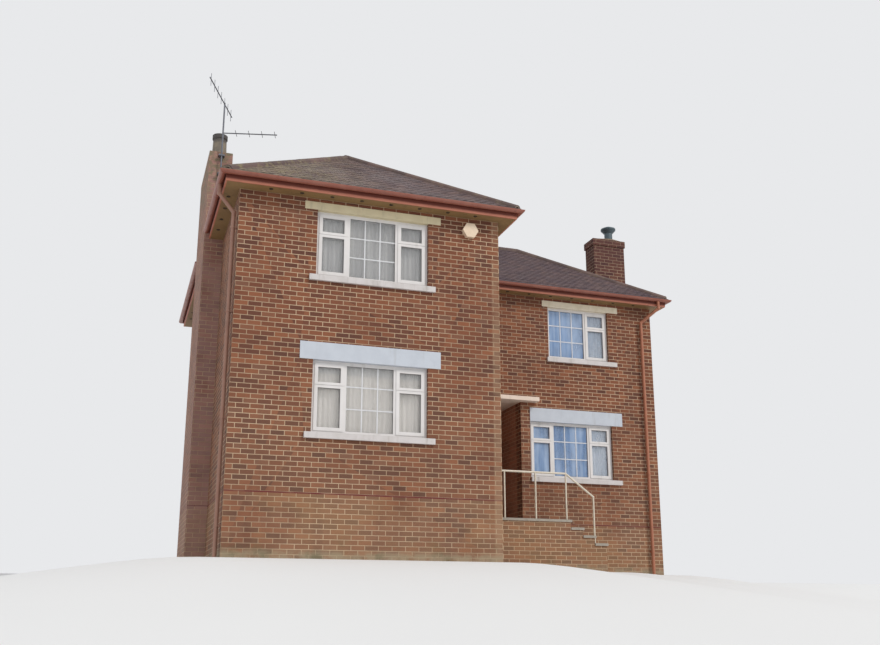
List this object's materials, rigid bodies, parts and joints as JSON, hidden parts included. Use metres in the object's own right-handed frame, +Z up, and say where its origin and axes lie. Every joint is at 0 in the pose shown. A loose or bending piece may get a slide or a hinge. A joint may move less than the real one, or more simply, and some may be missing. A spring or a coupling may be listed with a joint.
{
  "type": "detached house",
  "caption": "Two-storey detached brick house on an L plan with hipped tiled roofs, two chimneys, a recessed porch with landing and handrail, and white windows.",
  "frame": {"origin": "middle of the overall plan at the lowest ground level beside the walls", "axes": "+X to the right seen from the front, +Y from the front towards the rear, +Z up"},
  "size_m": [11.0144, 9.272, 9.158],
  "materials": {
    "brick": "matt",
    "roof_tile": "matt",
    "ridge_tile": "matt",
    "floor_board": "satin",
    "concrete": "matt",
    "plaster": "matt",
    "soffit_board": "matt",
    "fascia_board": "satin",
    "gutter_plastic": "satin",
    "clay_pot": "matt",
    "flue_metal": "matt",
    "lead": "matt",
    "aerial_metal": "dull",
    "window_plastic": "gloss",
    "window_glass": "clear",
    "white_paint": "painted",
    "cream_paint": "painted",
    "door_wood": "satin",
    "rail_paint": "satin",
    "alarm_plastic": "satin",
    "net_fabric": "soft"
  },
  "bodies": {
    "root": {"block_front_wall": "brick", "left_wall": "brick", "block_return_wall": "brick", "wing_front_wall": "brick", "wing_right_wall": "brick", "rear_wall": "brick", "porch_side_wall": "brick", "porch_back_wall": "brick", "ground_floor": "concrete", "upper_floor": "floor_board", "ceiling": "plaster", "roof": "roof_tile", "ridge_tiles": "ridge_tile", "soffit": "soffit_board", "fascia": "fascia_board", "gutters": "gutter_plastic", "left_downpipe": "gutter_plastic", "wing_downpipe": "gutter_plastic", "left_chimney": "brick", "left_chimney_pot": "clay_pot", "wing_chimney": "brick", "wing_flue_cowl": "flue_metal", "chimney_flashing": "lead", "tv_aerial": "aerial_metal", "block_window_frames": "window_plastic", "block_window_glass": "window_glass", "wing_window_frames": "window_plastic", "wing_window_glass": "window_glass", "rear_window_frames": "window_plastic", "rear_window_glass": "window_glass", "side_window_frames": "window_plastic", "side_window_glass": "window_glass", "window_sills": "white_paint", "window_lintels": "cream_paint", "front_door": "door_wood", "front_door_frame": "door_wood", "porch_canopy": "white_paint", "porch_base": "brick", "porch_landing": "concrete", "porch_steps": "concrete", "handrail": "rail_paint", "alarm_box": "alarm_plastic", "net_curtains": "net_fabric"}
  },
  "joints": []
}
